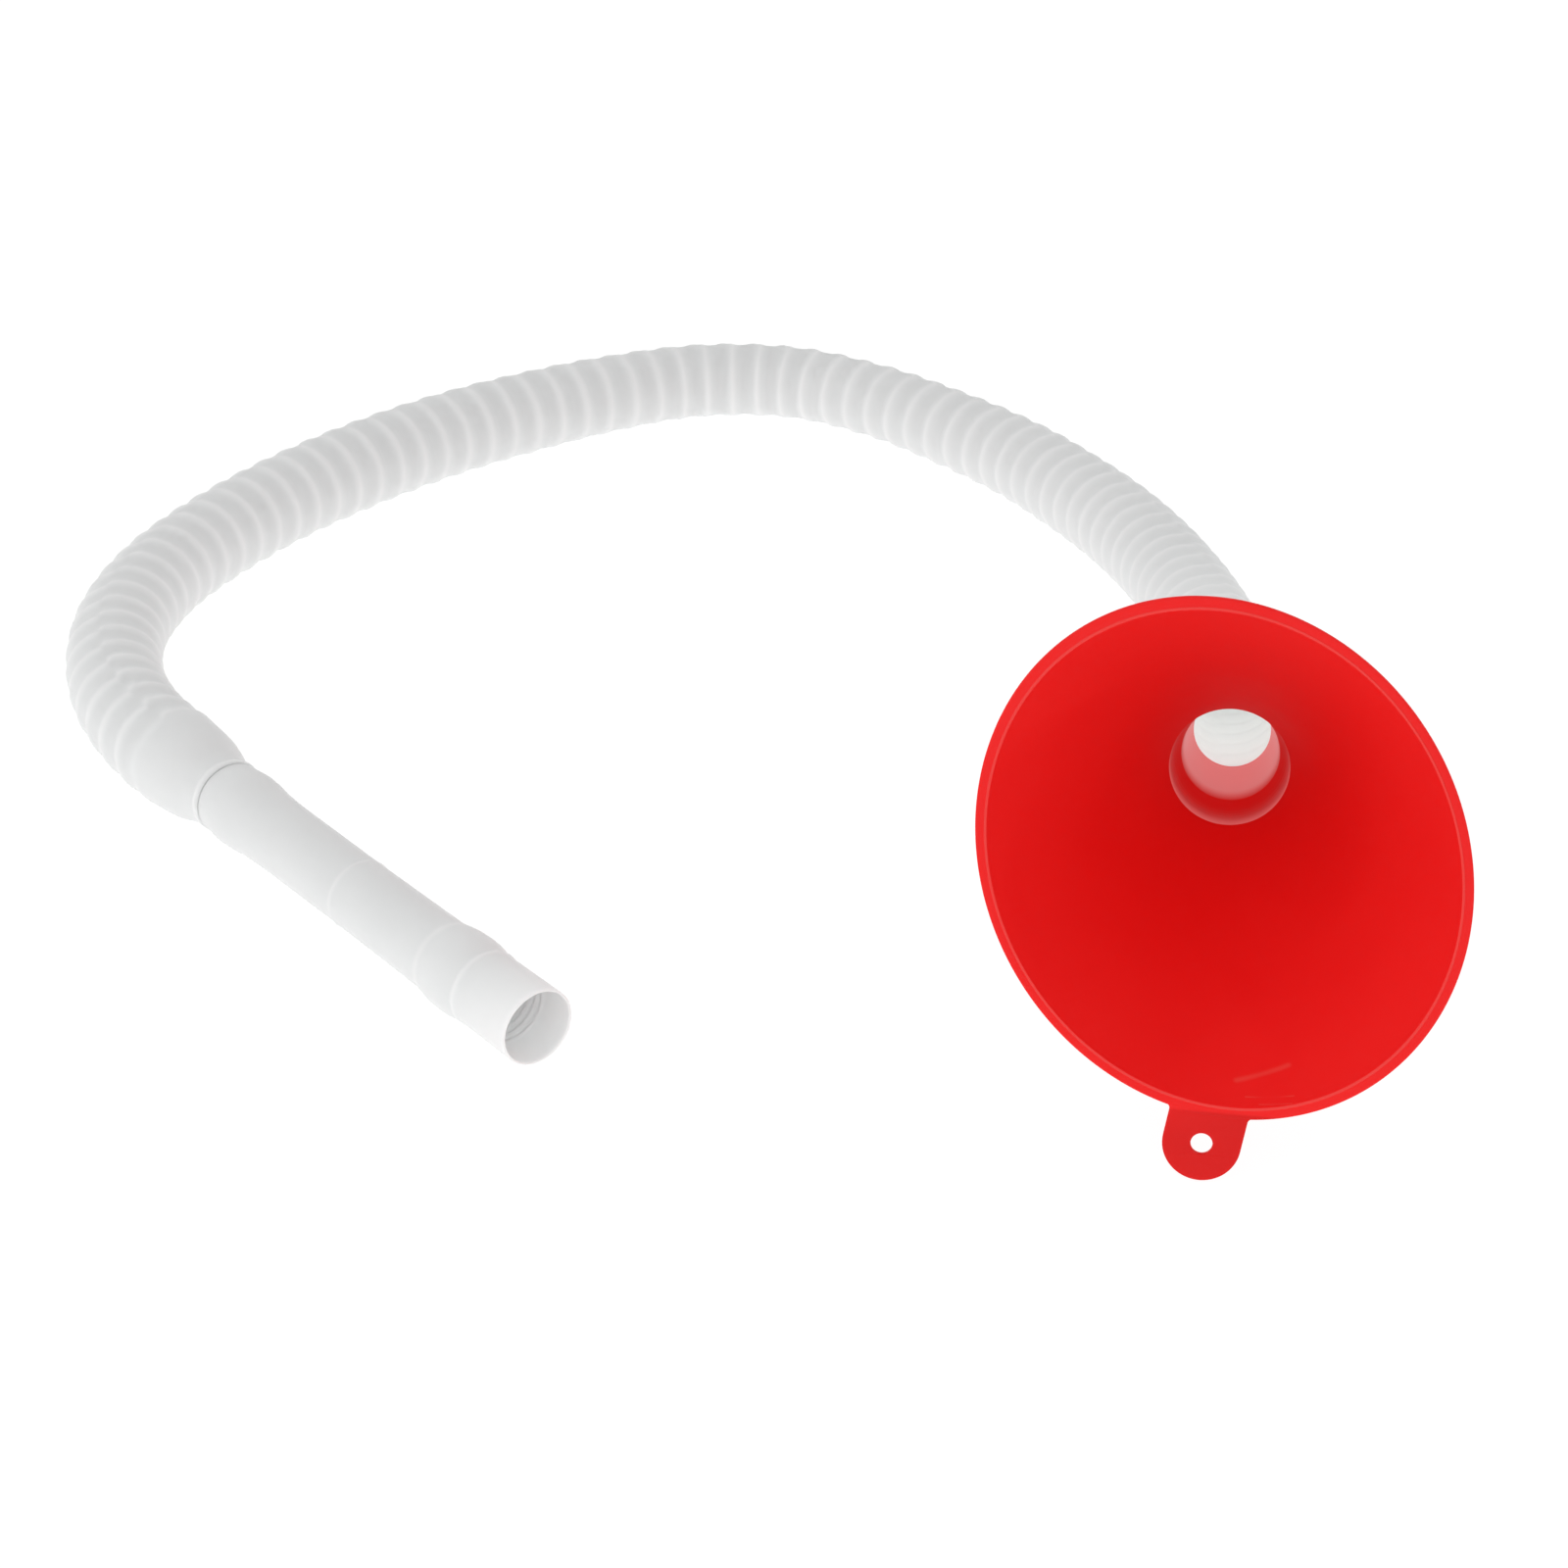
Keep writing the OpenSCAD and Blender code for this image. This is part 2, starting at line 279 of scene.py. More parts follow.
outer[:, :, 2] = np.maximum(outer[:, :, 2], 0.1 * MM)
inner[:, :, 2] = np.maximum(inner[:, :, 2], 1.0 * MM)
# Painted highlight: this mask is 1 on rib crests and seam flash, where the finish paints the plastic paler.
crest_highlight_mask = (1 - valley(phase)) ** 3 * ends + 0.5 * seam_ridge[None, :]
print("valleys are", round(low.max() * 1000, 2), "mm deep")

# %% Add the smooth collar up to the waist
in_collar = (x_mm > 0.4) & (x_mm <= COLLAR_END)
spokes = np.cos(theta)[:, None] * side[-1] + np.sin(theta)[:, None] * above[-1]
collar_line = HOSE_POINTS[-1] + x_mm[in_collar, None] * MM * OUTLET_DIR
outer = np.concatenate([outer, collar_line[:, None] + skin_mm[in_collar, None, None] * MM * spokes])
inner = np.concatenate([inner, collar_line[:, None] + bore_mm[in_collar, None, None] * MM * spokes])
print("collar:", len(collar_line), "rings")

# %% [markdown]
# The two skins become one closed wall when their ends are joined by a strip of quads. Two numbers
# per point go with the mesh for the finish: where a crest is, for a painted highlight, and where
# the inner skin is near the bowl, for a painted glow that stands in for light through the wall.

# %% Close the wall and keep its marks
verts, faces = [], []
first_out = add_skin(verts, faces, outer, inward=True)
first_in = add_skin(verts, faces, inner)
tail = (len(outer) - 1) * AROUND
for j in range(AROUND):
    k = (j + 1) % AROUND
    faces.append((first_out + j, first_in + j, first_in + k, first_out + k))
    faces.append((first_out + tail + k, first_in + tail + k, first_in + tail + j, first_out + tail + j))
corrugated_hose = make_piece("corrugated_hose", verts, faces)
# Painted highlight on the collar's waist ring, in the same mask.
waist_highlight_mask = np.repeat(fine_ring(x_mm[in_collar], WAIST_RING, 1, .7)[:, None], AROUND, axis=1)
crest_highlight_mask = np.concatenate([crest_highlight_mask, waist_highlight_mask])
mark(corrugated_hose, "crest", np.concatenate([crest_highlight_mask, 0.3 * crest_highlight_mask]))
run_past_neck = np.concatenate([run, np.ones(len(collar_line))])
near_bowl = np.clip(1.6 - run_past_neck / 0.08, 0, 1)[:, None]
no_light = 0 * crest_highlight_mask
mark(corrugated_hose, "backlit", np.concatenate([no_light, no_light + near_bowl]))
print("hose:", len(verts), "points,", len(faces), "faces")

# %% [markdown]
# ## The stepped outlet
# From the waist on, the smooth end is turned: its outer and inner radii are swept once round a
# straight line. At the open tip both skins are rounded into each other, as a trimmed end is.

# %% Turning helper
TURN_AROUND = 96


def turn(name, origin, axis, outside, inside):
    """Turns two skins (place along axis, radius) about the axis and closes them at both ends."""
    axis = np.array(axis) / np.linalg.norm(axis)
    across = np.cross(axis, (0, 0, 1))
    across /= np.linalg.norm(across)
    upward = np.cross(across, axis)
    t = np.arange(TURN_AROUND) * 2 * math.pi / TURN_AROUND
    spokes = np.cos(t)[:, None] * across + np.sin(t)[:, None] * upward
    loop = np.array(list(outside) + list(inside)[::-1] + [outside[0]])      # once round the wall
    along_axis, out_from_axis = loop[:, 0, None, None], loop[:, 1, None, None]
    rings = np.array(origin) + along_axis * axis + out_from_axis * spokes[None, :, :]
    verts, faces = [], []
    add_skin(verts, faces, rings[:-1], inward=True)
    last = (len(loop) - 2) * TURN_AROUND
    for j in range(TURN_AROUND):
        k = (j + 1) % TURN_AROUND
        faces.append((k, j, last + j, last + k))
    return make_piece(name, verts, faces)


# %% Turn the outlet
past_waist = x_mm >= COLLAR_END - 0.01
lip_round = 0.25 * np.clip(1 - (x_mm[-1] - x_mm) / 0.6, 0, 1) ** 2
outside = [(x * MM, r * MM) for x, r in zip(x_mm[past_waist], (skin_mm - lip_round)[past_waist])]
inside = [(x * MM, r * MM) for x, r in zip(x_mm[past_waist], (bore_mm + lip_round)[past_waist])]
stepped_outlet = turn("stepped_outlet", HOSE_POINTS[-1], OUTLET_DIR, outside, inside)
print("outlet:", len(stepped_outlet.data.polygons), "faces")

# %% Mark its rings, its stop bead and its rim for painted highlights
bead_start = 135.5                      # mm along
rim_highlight_mask = fine_ring(x_mm, x_mm[-1], 1, .8)
ring_highlight_mask = (fine_ring(x_mm, BARREL_RING, .8, .6) + fine_ring(x_mm, bead_start, 1, 1.2)
             + fine_ring(x_mm, BEAD_RING, 1, .7) + rim_highlight_mask)
bore_highlight_mask = sum(fine_ring(x_mm, at, 1, .5) for at in BORE_RINGS) + rim_highlight_mask
once_round = np.concatenate([ring_highlight_mask[past_waist], bore_highlight_mask[past_waist][::-1]])
# Painted highlight: the crest mark makes these rings paler in the finish.
mark(stepped_outlet, "crest", np.repeat(once_round, TURN_AROUND))
print("marked", len(once_round), "rings of the outlet")

# %% [markdown]
# ## The inlet cuff
# Behind the bowl the hose ends in a short cuff that grips the neck. It hides there, so it keeps
# the plain working shape of such a cuff: a bore with the neck's taper and two gripping ribs.

# %% Turn the cuff on the bowl's axis
BOWL_MOUTH = np.array((0, -53.95, 77.1)) * MM
CUFF_START, CUFF_END = 104.5, 128.5                     # mm below the mouth, along the axis
NECK_START, NECK_TAPER = 102.5, 22.2                    # mm below the mouth, and mm of length
NECK_R, NECK_NARROWS = 13.7, 2.3                        # mm


def neck_outside(d):
    """Outer radius of the neck in mm, d mm below the mouth."""
    return NECK_R - NECK_NARROWS * np.clip((d - NECK_START) / NECK_TAPER, 0, 1)


d_mm = np.arange(CUFF_START, CUFF_END + 0.1, 0.5)
cuff_wall = np.interp(d_mm, [CUFF_START, 123, 126.5, CUFF_END], [0.8, 0.8, 1.4, 3.0])
cuff_skin = neck_outside(d_mm) + cuff_wall + fine_ring(d_mm, 107, .55, 1.3) + fine_ring(d_mm, 113, .35, 1.2)
cuff_bore = neck_outside(d_mm) + 0.06 + 0.3 * np.clip(1 - (d_mm - CUFF_START), 0, 1)
inlet_cuff = turn("inlet_cuff", BOWL_MOUTH, NECK_DIR,
                  [(d * MM, r * MM) for d, r in zip(d_mm, cuff_skin)],
                  [(d * MM, r * MM) for d, r in zip(d_mm, cuff_bore)])
print("cuff:", CUFF_END - CUFF_START, "mm of grip on the neck")

# %% [markdown]
# ## What the hose is to the model
# The hose, its outlet and its cuff are one soft moulding, so all three ride on the hose body.

for piece, node in ((corrugated_hose, "hose_corrugated"), (stepped_outlet, "hose_outlet"),
                    (inlet_cuff, "hose_inlet_cuff")):
    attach(piece, "hose")
    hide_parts(node)
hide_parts("hose_outlet")
print("hose to the waist:", round(HOSE_LENGTH + COLLAR_END * MM, 4), "m")

# %% [markdown]
# ## The bowl
# The bowl is turned too, but its soft rim is pressed slightly oval. Each ring of its section is
# therefore stretched along one direction and narrowed across it, a lot at the rim and not at all
# at the throat. Corners of the section are rounded with short arcs, because a moulded edge always
# has a small radius, and that radius is what catches the light.

# %% Section helper: a line with rounded corners
def rounded(corners, arc_steps):
    """Points of an open line of (x, y, radius) corners, each corner replaced by an arc."""
    pts = []
    for i, (x, y, corner_r) in enumerate(corners):
        here = np.array((x, y), float)
        if i in (0, len(corners) - 1) or corner_r == 0:
            pts.append(here)
            continue
        back = np.array(corners[i - 1][:2]) - here
        ahead = np.array(corners[i + 1][:2]) - here
        back_length, ahead_length = np.linalg.norm(back), np.linalg.norm(ahead)
        back, ahead = back / back_length, ahead / ahead_length
        half = math.acos(np.clip(np.dot(back, ahead), -1, 1)) / 2
        reach = min(corner_r / math.tan(half), 0.49 * back_length, 0.49 * ahead_length)
        corner_r = reach * math.tan(half)
        middle = (back + ahead) / np.linalg.norm(back + ahead) * corner_r / math.sin(half)
        sweep = math.pi - 2 * half
        for share in np.linspace(0, 1, arc_steps + 1):
            spoke = ((back * reach - middle) * math.sin((1 - share) * sweep)
                     + (ahead * reach - middle) * math.sin(share * sweep))
            pts.append(here + middle + spoke / np.linalg.norm(spoke) * corner_r)
    return np.array(pts)


# %% Section helper: more points on long straight runs
def with_supports(pts, near=0.25, far=6.0):
    """Adds points close to both ends of long straight runs, so that smooth shading stays local."""
    out = [pts[0]]
    for a, b in zip(pts[:-1], pts[1:]):
        length = np.linalg.norm(b - a)
        stops = [near, length - near] if length > 3 * near else []
        if length > 2 * far:
            stops = [near, *np.arange(far, length - far / 2, far), length - near]
        out += [a + (b - a) * s / length for s in stops] + [b]
    return np.array(out)


# %% The section of the bowl, from the lip through the throat to the neck's tip
MOUTH_R, THROAT_R, CONE_H = 60.0, 15.4, 86.5            # mm
CONE_TOP_R = 57.2                                       # where the cone would meet the mouth's plane
SLOPE = (CONE_TOP_R - THROAT_R) / CONE_H
BOWL_WALL = 1.5
WALL_R = BOWL_WALL / math.cos(math.atan(SLOPE))         # the wall measured along the radius
LIP_UNDER = 1.8                                         # the lip's underside, mm below the mouth


def cone_inside(d):
    """Inner radius of the cone in mm, d mm below the mouth."""
    return CONE_TOP_R - SLOPE * d


# Corners are (radius, mm below the mouth, rounding).
lip_line = [(58.6, 0.1, 0), (57.9, 0.1, .2), (57.6, -.1, .2), (57.1, 0, .25), (cone_inside(.8), .8, .6)]
throat_line = [(THROAT_R, CONE_H, .25), (15.1, 95.4, 20), (12.75, 101.1, .4)]
neck_line = [(10.2, 126, .3), (11.2, 126, .3), (11.4, 125.7, .2), (NECK_R, NECK_START, .6)]
shoulder_line = [(15.9, 98.5, 1.2), (16.9, 95.5, 1.0), (THROAT_R + WALL_R, CONE_H, 1.2)]
under_lip_line = [(cone_inside(2.6) + WALL_R, 2.6, .8), (cone_inside(LIP_UNDER) + WALL_R + .6, LIP_UNDER, .3),
                  (MOUTH_R, LIP_UNDER, .55), (MOUTH_R, 0.05, .55), (58.6, 0.1, 0)]
section_corners = lip_line + throat_line + neck_line + shoulder_line + under_lip_line
section = with_supports(rounded(section_corners, arc_steps=4))
print("bowl section:", len(section_corners), "corners,", len(section), "points")

# %% Where the bowl is, and how it is pressed oval
PRESSED = 4.4                                           # mm that the rim's long way gains
OVAL_TURN = math.radians(62)                            # from sideways to the long way
BOWL_AROUND = 240
SIDEWAYS = np.array((1.0, 0, 0))
DOWNWARD = np.array((0, -math.sin(BOWL_TILT), -math.cos(BOWL_TILT)))


def on_bowl(x, y, d):
    """A point in mm sideways, towards the tab and down the axis, in the frame of the model."""
    across = np.multiply.outer(x, SIDEWAYS) + np.multiply.outer(y, DOWNWARD)
    return BOWL_MOUTH + (across + np.multiply.outer(d, NECK_DIR)) * MM


# %% Sweep the section round the mouth
t = np.arange(BOWL_AROUND) * 2 * math.pi / BOWL_AROUND
press = PRESSED * np.clip(section[:, 0] - THROAT_R - WALL_R, 0, None) / (MOUTH_R - THROAT_R - WALL_R)
long_way = (section[:, 0] + press)[:, None] * np.cos(t)
short_way = (section[:, 0] - press)[:, None] * np.sin(t)
x = long_way * math.cos(OVAL_TURN) - short_way * math.sin(OVAL_TURN)
y = long_way * math.sin(OVAL_TURN) + short_way * math.cos(OVAL_TURN)
rings = on_bowl(x, y, np.broadcast_to(section[:, 1, None], x.shape))
verts, faces = [], []
add_skin(verts, faces, rings[:-1])
last = (len(section) - 2) * BOWL_AROUND
for j in range(BOWL_AROUND):
    k = (j + 1) % BOWL_AROUND
    faces.append((last + j, last + k, k, j))
red_bowl = make_piece("red_bowl", verts, faces, sharp_angle=50)
print("bowl: rim", round((MOUTH_R + PRESSED) * 2, 1), "by", round((MOUTH_R - PRESSED) * 2, 1), "mm")

# %% [markdown]
# ## The hanging tab
# A flat tongue with a round hole sticks out under the lip, so the funnel can hang on a hook. A
# filled 2D curve with a small bevel is the quick way to a plate with a hole and soft edges. The
# tongue flows into the lip through two small hollow corners.

# %% Sizes of the tab, and how far the rim reaches
TAB_REACH = 69.4                        # mm from the mouth's centre to the hole's
TAB_WIDTH = 18.6
TAB_THICK = 1.5
HOLE_R = 2.6
CORNER_R = 1.2                          # the hollow corners
EDGE_R = 0.3                            # the soft edges all round
TAB_LEAN = math.radians(9)


def rim_reach(angle):
    """Distance from the mouth's centre to the rim at an angle from sideways, in mm."""
    a, b, c = MOUTH_R + PRESSED, MOUTH_R - PRESSED, angle - OVAL_TURN
    return a * b / math.hypot(b * math.cos(c), a * math.sin(c))


# %% The outline of the tab
def hollow_corner(hand):
    """Points of the hollow corner on one side (hand is 1 or -1), from the tab's side to the rim."""
    up = (math.sin(TAB_LEAN), -math.cos(TAB_LEAN))
    across = (math.cos(TAB_LEAN), math.sin(TAB_LEAN))
    sideways = hand * (TAB_WIDTH / 2 + CORNER_R)
    climb = 0
    while True:                         # slide the corner's circle up the side until it meets the rim
        cx = sideways * across[0] + climb * up[0]
        cy = TAB_REACH + sideways * across[1] + climb * up[1]
        if math.hypot(cx, cy) <= rim_reach(math.atan2(cy, cx)) - 0.15 + CORNER_R:
            break
        climb += 0.02
    first = math.atan2(-hand * across[1], -hand * across[0])
    turn_by = (math.atan2(-cy, -cx) - first + math.pi) % (2 * math.pi) - math.pi
    angles = first + turn_by * np.linspace(0, 1, 9)
    arc = [(cx + CORNER_R * math.cos(a), cy + CORNER_R * math.sin(a)) for a in angles]
    inside_rim = (arc[-1][0] - hand * 0.6, arc[-1][1] - 1.6)
    return arc + [inside_rim]


def tab_outline():
    """Corner points of the tab: round its tip, then into the rim on both sides."""
    half = TAB_WIDTH / 2
    half_turn = np.linspace(0, math.pi, 33) + TAB_LEAN
    tip = [(half * math.cos(a), TAB_REACH + half * math.sin(a)) for a in half_turn]
    return tip + hollow_corner(-1) + hollow_corner(1)[::-1]


def flat_spline(curve, points):
    """Adds a closed straight-sided outline in mm to a 2D curve."""
    s = curve.splines.new("POLY")
    s.points.add(len(points) - 1)
    for p, (px, py) in zip(s.points, points):
        p.co = (px * MM, py * MM, 0, 1)
    s.use_cyclic_u = True


print("the tab reaches", TAB_REACH + TAB_WIDTH / 2 - MOUTH_R, "mm past a round rim")

# %% Draw the tab as a bevelled plate
tab_curve = bpy.data.curves.new("hanging_tab", "CURVE")
tab_curve.dimensions = "2D"
tab_curve.fill_mode = "BOTH"
tab_curve.extrude = (TAB_THICK / 2 - EDGE_R) * MM
tab_curve.bevel_depth = EDGE_R * MM
tab_curve.bevel_resolution = 2
tab_curve.offset = -EDGE_R * MM
hole = [(HOLE_R * math.cos(a), TAB_REACH + HOLE_R * math.sin(a)) for a in np.arange(48) * -math.pi / 24]
flat_spline(tab_curve, tab_outline())
flat_spline(tab_curve, hole)
tab_object = bpy.data.objects.new("hanging_tab", tab_curve)
bpy.context.scene.collection.objects.link(tab_object)
tab_filled = tab_object.evaluated_get(bpy.context.evaluated_depsgraph_get())
tab_mesh = bpy.data.meshes.new_from_object(tab_filled)
bpy.data.objects.remove(tab_object)
print("tab:", len(tab_mesh.polygons), "faces, hole", 2 * HOLE_R, "mm")

# %% Stand the tab under the lip
TAB_MIDDLE = 0.9                        # mm below the mouth's plane
plate = np.array([v.co[:] for v in tab_mesh.vertices]) / MM
depth = (plate[:, 2:3] + TAB_MIDDLE) * NECK_DIR
placed = BOWL_MOUTH + (plate[:, 0:1] * SIDEWAYS + plate[:, 1:2] * DOWNWARD + depth) * MM
tab_verts = [tuple(p) for p in placed]
tab_faces = [tuple(f.vertices) for f in tab_mesh.polygons]
hanging_tab = make_piece("hanging_tab", tab_verts, tab_faces, sharp_angle=35)
print("tab's lowest point is", round(placed[:, 2].min() * 1000, 1), "mm above the floor")

# %% [markdown]
# ## What the bowl is to the model
# Bowl and tab are one moulding, so they are joined into one piece with a boolean union. They
# slide off the hose together, which is the funnel's one moving joint.

# %% Join the tab to the bowl
weld = red_bowl.modifiers.new("weld_on_tab", "BOOLEAN")
weld.operation = "UNION"
weld.solver = "EXACT"
weld.object = hanging_tab
welded = bpy.data.meshes.new_from_object(red_bowl.evaluated_get(bpy.context.evaluated_depsgraph_get()))
red_bowl.modifiers.clear()
red_bowl.data = welded
welded.shade_smooth()
welded.set_sharp_from_angle(angle=math.radians(50))
bpy.data.objects.remove(hanging_tab)
print("bowl and tab:", len(red_bowl.data.polygons), "faces")

# %% [markdown]
# The joined mesh has new points, so the bowl's masks are worked out from where each point is: how
# far it is below the mouth, and how far from the axis. The inside of the neck and the corner under
# the cone get a painted glow that stands in for light through the wall. The fine raised bead on
# the lip is marked as a crest, for a painted highlight, and the tab is marked for painted shade.

# %% Mark the neck and the throat's corner for painted glow, the lip for a painted highlight, the tab for painted shade
BORE_START = 101.6                      # the neck's straight bore, mm below the mouth
CORNER_FADE = 3                         # mm over which the light at the corner fades
TAB_ROOT, TAB_BLEND = 60.9, 0.6         # mm from the axis where the tab starts, and how softly
spot = np.array([v.co[:] for v in red_bowl.data.vertices]) - BOWL_MOUTH
depth_mm = spot @ NECK_DIR / MM
reach_mm = np.linalg.norm(spot - np.outer(spot @ NECK_DIR, NECK_DIR), axis=1) / MM
in_neck = (depth_mm > BORE_START) & (reach_mm < neck_outside(depth_mm) - 0.6)
lip_bead_highlight = (depth_mm < 0.02) & (reach_mm < 64) & (reach_mm > 50)
past_cone = depth_mm - CONE_H - 0.15
throat_corner = np.clip(1 - past_cone / CORNER_FADE, 0, 1) * (past_cone > 0) * (reach_mm < THROAT_R + 0.3)
past_rim = spot @ DOWNWARD / MM - TAB_ROOT
# Painted glow in the neck and at the throat's corner.
mark(red_bowl, "backlit", in_neck + 0.6 * throat_corner)
# Painted highlight on the lip's bead.
mark(red_bowl, "crest", lip_bead_highlight)
# Painted shade: this mask darkens the tab's red.
mark(red_bowl, "tab", np.clip(past_rim / TAB_BLEND, 0, 1))
print("marked", int(in_neck.sum()), "points in the neck and", int(lip_bead_highlight.sum()), "on the lip")

# %% Ride and replace the bowl
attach(red_bowl, "bowl")
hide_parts("funnel_bowl")
print("the bowl rides on its own body")

# %% [markdown]
# ## Finishes
# Both plastics come out of a mould, and share the marks a mould leaves: a slow cloudiness where
# the plastic flowed and cooled, and a very fine grain from the tool's surface. One node group
# makes both, and each material places it with its own sizes.

# %% Node helpers
def new_material(name):
    """A new material with its nodes, its links and its Principled shader."""
    mat = bpy.data.materials.new(name)
    mat.use_nodes = True
    nodes = mat.node_tree.nodes
    return mat, nodes, mat.node_tree.links, nodes["Principled BSDF"]


def group_socket(tree, name, way, kind, value=None):
    """Adds a named input or output to a node group."""
    socket = tree.interface.new_socket(name, in_out=way, socket_type=kind)
    if value is not None:
        socket.default_value = value


def mixed_colour(nodes, colour):
    """A mix node that goes towards this colour as its factor rises."""
    mix = nodes.new("ShaderNodeMix")
    mix.data_type = "RGBA"
    mix.inputs["B"].default_value = (*colour, 1)
    return mix


# %% A node group for the marks of a mould
mould_marks = bpy.data.node_groups.new("mould_marks", "ShaderNodeTree")
group_socket(mould_marks, "Clouds per metre", "INPUT", "NodeSocketFloat", 30.0)
group_socket(mould_marks, "Grains per metre", "INPUT", "NodeSocketFloat", 1500.0)
group_socket(mould_marks, "Cloud", "OUTPUT", "NodeSocketFloat")
group_socket(mould_marks, "Grain", "OUTPUT", "NodeSocketFloat")
gn, gl = mould_marks.nodes, mould_marks.links
group_in, group_out = gn.new("NodeGroupInput"), gn.new("NodeGroupOutput")
place = gn.new("ShaderNodeTexCoord")
cloud = gn.new("ShaderNodeTexNoise")
cloud.inputs["Detail"].default_value = 4
cloud.inputs["Distortion"].default_value = 0.6
spread = gn.new("ShaderNodeMapRange")
spread.inputs["From Min"].default_value = 0.3
spread.inputs["From Max"].default_value = 0.7
grain = gn.new("ShaderNodeTexNoise")
grain.inputs["Detail"].default_value = 2
gl.new(place.outputs["Object"], cloud.inputs["Vector"])
gl.new(place.outputs["Object"], grain.inputs["Vector"])
gl.new(group_in.outputs["Clouds per metre"], cloud.inputs["Scale"])
gl.new(group_in.outputs["Grains per metre"], grain.inputs["Scale"])
gl.new(cloud.outputs["Fac"], spread.inputs["Value"])
gl.new(spread.outputs["Result"], group_out.inputs["Cloud"])
gl.new(grain.outputs["Fac"], group_out.inputs["Grain"])
print("mould marks:", len(gn), "nodes")


# %% A moulded plastic
def moulded_finish(name, colours, roughness, clouds_per_metre, grains_per_metre, grain_depth):
    """A moulded plastic: colour and gloss drift with the cloud, the grain lifts the surface."""
    mat, nodes, links, shader = new_material(name)
    marks = nodes.new("ShaderNodeGroup")
    marks.node_tree = mould_marks
    marks.inputs["Clouds per metre"].default_value = clouds_per_metre
    marks.inputs["Grains per metre"].default_value = grains_per_metre
    tint = mixed_colour(nodes, colours[1])
    tint.inputs["A"].default_value = (*colours[0], 1)
    gloss = nodes.new("ShaderNodeMapRange")
    gloss.inputs["To Min"].default_value = roughness[0]
    gloss.inputs["To Max"].default_value = roughness[1]
    bump = nodes.new("ShaderNodeBump")
    bump.inputs["Strength"].default_value = 0.5
    bump.inputs["Distance"].default_value = grain_depth
    links.new(marks.outputs["Cloud"], tint.inputs["Factor"])
    links.new(marks.outputs["Cloud"], gloss.inputs["Value"])
    links.new(marks.outputs["Grain"], bump.inputs["Height"])
    links.new(tint.outputs["Result"], shader.inputs["Base Color"])
    links.new(gloss.outputs["Result"], shader.inputs["Roughness"])
    links.new(bump.outputs["Normal"], shader.inputs["Normal"])
    mat.cycles.emission_sampling = "NONE"        # a weak even glow is found by bounces, not aimed at
    return mat, nodes, links, shader, tint


# %% [markdown]
# A mask can also come from the mesh. When the hose and the bowl were made, each point kept a
# number called crest, which is 1 on the ribs, rings and raised edges. The finish paints them
# paler there, as a painted highlight. The tab has its own mask, which darkens its red as painted shade.

# %% Another colour where a mask asks for it
def tint_by(mask_output, nodes, links, shader, tint, colour, share):
    """Mixes up to this share of a colour over the tint, by the output of a mask node."""
    amount = nodes.new("ShaderNodeMapRange")
    amount.inputs["To Max"].default_value = share
    mixed = mixed_colour(nodes, colour)
    links.new(mask_output, amount.inputs["Value"])
    links.new(amount.outputs["Result"], mixed.inputs["Factor"])
    links.new(tint.outputs["Result"], mixed.inputs["A"])
    links.new(mixed.outputs["Result"], shader.inputs["Base Color"])
    return mixed


def colour_where(mask, nodes, links, shader, tint, colour, share):
    """Mixes a colour over the tint where this mask of the mesh is high."""
    reader = nodes.new("ShaderNodeAttribute")
    reader.attribute_name = mask
    return tint_by(reader.outputs["Fac"], nodes, links, shader, tint, colour, share)


# %% [markdown]
# Both plastics are thin, and where light comes through the wall from behind, the inside glows:
# the neck looks pink, and the inside of the hose behind it nearly white. Tracing that light
# through two close skins is slow and noisy. The mesh says where it happens, with the mask backlit,
# and the finish adds a little light of its own there.

# %% Light that comes through the wall
def light_through(nodes, links, shader, colour):
    """Adds a soft glow of this colour where the backlit mask of the mesh is high."""
    glow_reader = nodes.new("ShaderNodeAttribute")
    glow_reader.attribute_name = "backlit"
    glow = mixed_colour(nodes, colour)
    glow.inputs["A"].default_value = (0, 0, 0, 1)
    links.new(glow_reader.outputs["Fac"], glow.inputs["Factor"])
    links.new(glow.outputs["Result"], shader.inputs["Emission Color"])
    shader.inputs["Emission Strength"].default_value = 1.0


# %% [markdown]
# The bowl has a few pale streaks near its bottom. A streak is a short line: every point of the
# surface measures its distance to that line, and what is close enough turns pale. One node
# group does this, and each streak is one use of it.

# %% Start a node group for a pale streak
pale_streak = bpy.data.node_groups.new("pale_streak", "ShaderNodeTree")
group_socket(pale_streak, "From", "INPUT", "NodeSocketVector")
group_socket(pale_streak, "Along", "INPUT", "NodeSocketVector")
group_socket(pale_streak, "Half width", "INPUT", "NodeSocketFloat", 0.0005)
group_socket(pale_streak, "Mask", "OUTPUT", "NodeSocketFloat")
gn, gl = pale_streak.nodes, pale_streak.links
group_in, group_out = gn.new("NodeGroupInput"), gn.new("NodeGroupOutput")
place = gn.new("ShaderNodeTexCoord")


def vector_step(kind, first, second, result="Vector"):
    """One step of vector arithmetic in the group, given as the output that it ends in."""
    step = gn.new("ShaderNodeVectorMath")
    step.operation = kind
    gl.new(first, step.inputs[0])
    gl.new(second, step.inputs[1])
    return step.outputs[result]


def divide(first, second, clamp=False):
    """One number over another in the group, kept between 0 and 1 if clamped."""
    step = gn.new("ShaderNodeMath")
    step.operation = "DIVIDE"
    step.use_clamp = clamp
    gl.new(first, step.inputs[0])
    gl.new(second, step.inputs[1])
    return step.outputs[0]


